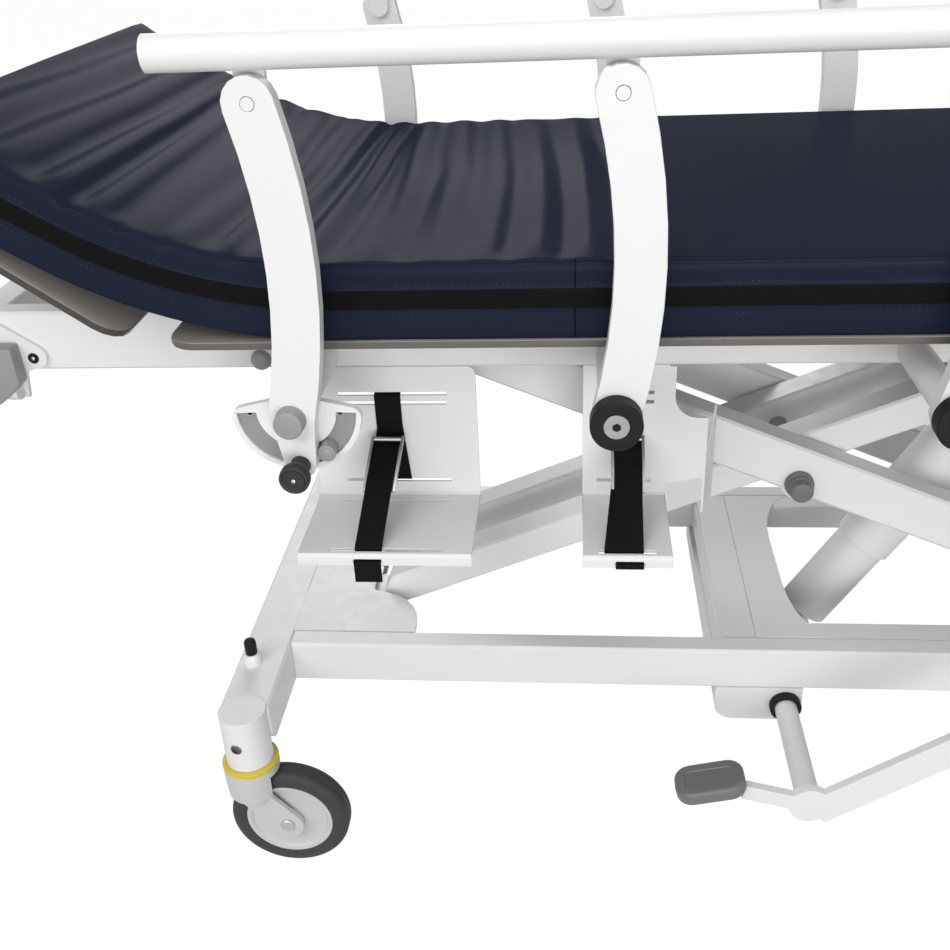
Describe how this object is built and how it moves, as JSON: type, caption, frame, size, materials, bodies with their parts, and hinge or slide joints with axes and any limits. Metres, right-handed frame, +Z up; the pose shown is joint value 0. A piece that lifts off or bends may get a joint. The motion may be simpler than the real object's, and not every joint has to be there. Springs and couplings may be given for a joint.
{
  "type": "patient transport stretcher",
  "caption": "Hydraulic patient stretcher: a padded platform with a raisable head section and folding side rails on a scissor lift over a castor base.",
  "frame": {"origin": "on the floor under the crossing of the scissor arms, which is the middle of the whole part seen from above", "axes": "+X from the head end to the foot end, +Y to the patient's left, +Z up"},
  "size_m": [2, 0.806, 1.0056],
  "materials": {
    "white_paint": "satin white powder coat",
    "grey_plastic": "moulded mid grey",
    "castor_plastic": "moulded light grey",
    "black_rubber": "matt black",
    "tyre": "dark grey non-marking tread",
    "steel": "bright plated",
    "laminate": "high-pressure laminate",
    "navy_cover": "navy coated mattress cover over foam",
    "webbing": "woven black webbing"
  },
  "bodies": {
    "base": {"base_side_tube_right": "white_paint", "base_side_tube_left": "white_paint", "base_end_head": "white_paint", "base_end_foot": "white_paint", "centre_plate": "white_paint", "base_cross_member": "white_paint", "lower_pivot_shaft": "steel", "pump_housing": "white_paint", "pedal_bush": "black_rubber"},
    "pump_pedal": {"pump_pedal": "white_paint", "pedal_pad_release": "grey_plastic", "pedal_pad_pump": "grey_plastic"},
    "inner_scissor": {"inner_scissor_frame": "white_paint", "upper_roller_shaft": "steel"},
    "outer_scissor": {"outer_scissor_frame": "white_paint", "centre_pivot_shaft": "steel", "pivot_cap_right": "grey_plastic", "pivot_cap_left": "grey_plastic", "lower_roller_shaft": "steel"},
    "cylinder": {"lift_cylinder": "white_paint"},
    "rod": {"piston_rod": "steel"},
    "frame": {"frame_beam_right": "white_paint", "frame_beam_left": "white_paint", "frame_cross_head": "white_paint", "frame_cross_hinge": "white_paint", "frame_cross_foot": "white_paint", "upper_pivot_shaft": "steel", "main_panel": "laminate", "mattress_main": "navy_cover", "mattress_bend": "navy_cover", "lock_quadrant_right": "white_paint", "lock_quadrant_left": "white_paint", "bottle_holder_head": "white_paint", "bottle_holder_foot": "white_paint", "bottle_strap_head": "webbing", "bottle_strap_foot": "webbing", "strap_buckle_head": "steel", "strap_buckle_foot": "steel", "push_bar": "white_paint"},
    "head_section": {"head_panel": "laminate", "head_hinge_frame": "white_paint", "mattress_head": "navy_cover"},
    "rail_arm_right_1": {"rail_arm_right_1": "white_paint"},
    "rail_arm_right_2": {"rail_arm_right_2": "white_paint"},
    "rail_arm_right_3": {"rail_arm_right_3": "white_paint"},
    "top_rail_right": {"top_rail_right": "white_paint"},
    "plunger_right": {"lock_plunger_right": "black_rubber"},
    "rail_arm_left_1": {"rail_arm_left_1": "white_paint"},
    "rail_arm_left_2": {"rail_arm_left_2": "white_paint"},
    "rail_arm_left_3": {"rail_arm_left_3": "white_paint"},
    "top_rail_left": {"top_rail_left": "white_paint"},
    "plunger_left": {"lock_plunger_left": "black_rubber"},
    "castor_head_right": {"castor_body_head_right": "castor_plastic"},
    "wheel_head_right": {"castor_wheel_head_right": "tyre"},
    "castor_head_left": {"castor_body_head_left": "castor_plastic"},
    "wheel_head_left": {"castor_wheel_head_left": "tyre"},
    "castor_foot_right": {"castor_body_foot_right": "castor_plastic"},
    "wheel_foot_right": {"castor_wheel_foot_right": "tyre"},
    "castor_foot_left": {"castor_body_foot_left": "castor_plastic"},
    "wheel_foot_left": {"castor_wheel_foot_left": "tyre"}
  },
  "joints": [
    {"name": "lift", "type": "hinge", "parent": "base", "child": "inner_scissor", "pos_m": [-0.545, 0, 0.211], "axis": [0, -1, 0], "range_deg": [-8, 8]},
    {"name": "scissor_cross", "type": "hinge", "parent": "inner_scissor", "child": "outer_scissor", "pos_m": [0, 0, 0.4373], "axis": [0, -1, 0], "range_deg": [-16, 16]},
    {"name": "frame_level", "type": "hinge", "parent": "outer_scissor", "child": "frame", "pos_m": [-0.545, 0, 0.66361], "axis": [0, -1, 0], "range_deg": [-8, 8]},
    {"name": "cylinder_tilt", "type": "hinge", "parent": "base", "child": "cylinder", "pos_m": [0.045, 0, 0.146], "axis": [0, -1, 0], "range_deg": [-9.61, 9.61]},
    {"name": "rod_slide", "type": "slide", "parent": "cylinder", "child": "rod", "axis": [0.53, 0, 0.848], "range_m": [-0.0979, 0.0979]},
    {"name": "head_tilt", "type": "hinge", "parent": "frame", "child": "head_section", "pos_m": [-0.7277, 0, 0.69361], "axis": [0, 1, 0], "range_deg": [-35.8, 29], "deforming": ["mattress_bend"]},
    {"name": "rail_fold_right", "type": "hinge", "parent": "frame", "child": "rail_arm_right_1", "pos_m": [-0.554, 0, 0.64761], "axis": [0, 1, 0], "range_deg": [0, 80]},
    {"name": "rail_follow_right_2", "type": "hinge", "parent": "frame", "child": "rail_arm_right_2", "pos_m": [-0.2355, 0, 0.64761], "axis": [0, 1, 0], "range_deg": [0, 80]},
    {"name": "rail_follow_right_3", "type": "hinge", "parent": "frame", "child": "rail_arm_right_3", "pos_m": [0.083, 0, 0.64761], "axis": [0, 1, 0], "range_deg": [0, 80]},
    {"name": "rail_level_right", "type": "hinge", "parent": "rail_arm_right_1", "child": "top_rail_right", "pos_m": [-0.554, 0, 0.94761], "axis": [0, 1, 0], "range_deg": [-80, 0]},
    {"name": "plunger_pull_right", "type": "slide", "parent": "rail_arm_right_1", "child": "plunger_right", "axis": [0, -1, 0], "range_m": [0, 0.008], "stiffness_N_per_m": 500, "springref_m": -0.004},
    {"name": "rail_fold_left", "type": "hinge", "parent": "frame", "child": "rail_arm_left_1", "pos_m": [-0.554, 0, 0.64761], "axis": [0, 1, 0], "range_deg": [0, 80]},
    {"name": "rail_follow_left_2", "type": "hinge", "parent": "frame", "child": "rail_arm_left_2", "pos_m": [-0.2355, 0, 0.64761], "axis": [0, 1, 0], "range_deg": [0, 80]},
    {"name": "rail_follow_left_3", "type": "hinge", "parent": "frame", "child": "rail_arm_left_3", "pos_m": [0.083, 0, 0.64761], "axis": [0, 1, 0], "range_deg": [0, 80]},
    {"name": "rail_level_left", "type": "hinge", "parent": "rail_arm_left_1", "child": "top_rail_left", "pos_m": [-0.554, 0, 0.94761], "axis": [0, 1, 0], "range_deg": [-80, 0]},
    {"name": "plunger_pull_left", "type": "slide", "parent": "rail_arm_left_1", "child": "plunger_left", "axis": [0, 1, 0], "range_m": [0, 0.008], "stiffness_N_per_m": 500, "springref_m": -0.004},
    {"name": "pump_stroke", "type": "hinge", "parent": "base", "child": "pump_pedal", "pos_m": [-0.004, 0, 0.156], "axis": [0, 1, 0], "range_deg": [-12, 25], "stiffness_Nm_per_rad": 40, "springref_deg": -1.72},
    {"name": "swivel_head_right", "type": "hinge", "parent": "base", "child": "castor_head_right", "pos_m": [-0.674, -0.3375, 0.175], "axis": [0, 0, 1], "continuous": true},
    {"name": "spin_head_right", "type": "hinge", "parent": "castor_head_right", "child": "wheel_head_right", "pos_m": [-0.633, -0.3375, 0.075], "axis": [0, 1, 0], "continuous": true},
    {"name": "swivel_head_left", "type": "hinge", "parent": "base", "child": "castor_head_left", "pos_m": [-0.674, 0.3375, 0.175], "axis": [0, 0, 1], "continuous": true},
    {"name": "spin_head_left", "type": "hinge", "parent": "castor_head_left", "child": "wheel_head_left", "pos_m": [-0.633, 0.3375, 0.075], "axis": [0, 1, 0], "continuous": true},
    {"name": "swivel_foot_right", "type": "hinge", "parent": "base", "child": "castor_foot_right", "pos_m": [0.674, -0.3375, 0.175], "axis": [0, 0, 1], "continuous": true},
    {"name": "spin_foot_right", "type": "hinge", "parent": "castor_foot_right", "child": "wheel_foot_right", "pos_m": [0.715, -0.3375, 0.075], "axis": [0, 1, 0], "continuous": true},
    {"name": "swivel_foot_left", "type": "hinge", "parent": "base", "child": "castor_foot_left", "pos_m": [0.674, 0.3375, 0.175], "axis": [0, 0, 1], "continuous": true},
    {"name": "spin_foot_left", "type": "hinge", "parent": "castor_foot_left", "child": "wheel_foot_left", "pos_m": [0.715, 0.3375, 0.075], "axis": [0, 1, 0], "continuous": true}
  ],
  "couplings": [
    {"joint": "scissor_cross", "follows": "lift", "ratio": -2},
    {"joint": "frame_level", "follows": "lift", "ratio": 1},
    {"joint": "cylinder_tilt", "follows": "lift", "ratio": 1.2},
    {"joint": "rod_slide", "follows": "lift", "m_per_rad": 0.7},
    {"joint": "rail_follow_right_2", "follows": "rail_fold_right", "ratio": 1},
    {"joint": "rail_follow_right_3", "follows": "rail_fold_right", "ratio": 1},
    {"joint": "rail_level_right", "follows": "rail_fold_right", "ratio": -1},
    {"joint": "rail_follow_left_2", "follows": "rail_fold_left", "ratio": 1},
    {"joint": "rail_follow_left_3", "follows": "rail_fold_left", "ratio": 1},
    {"joint": "rail_level_left", "follows": "rail_fold_left", "ratio": -1}
  ]
}
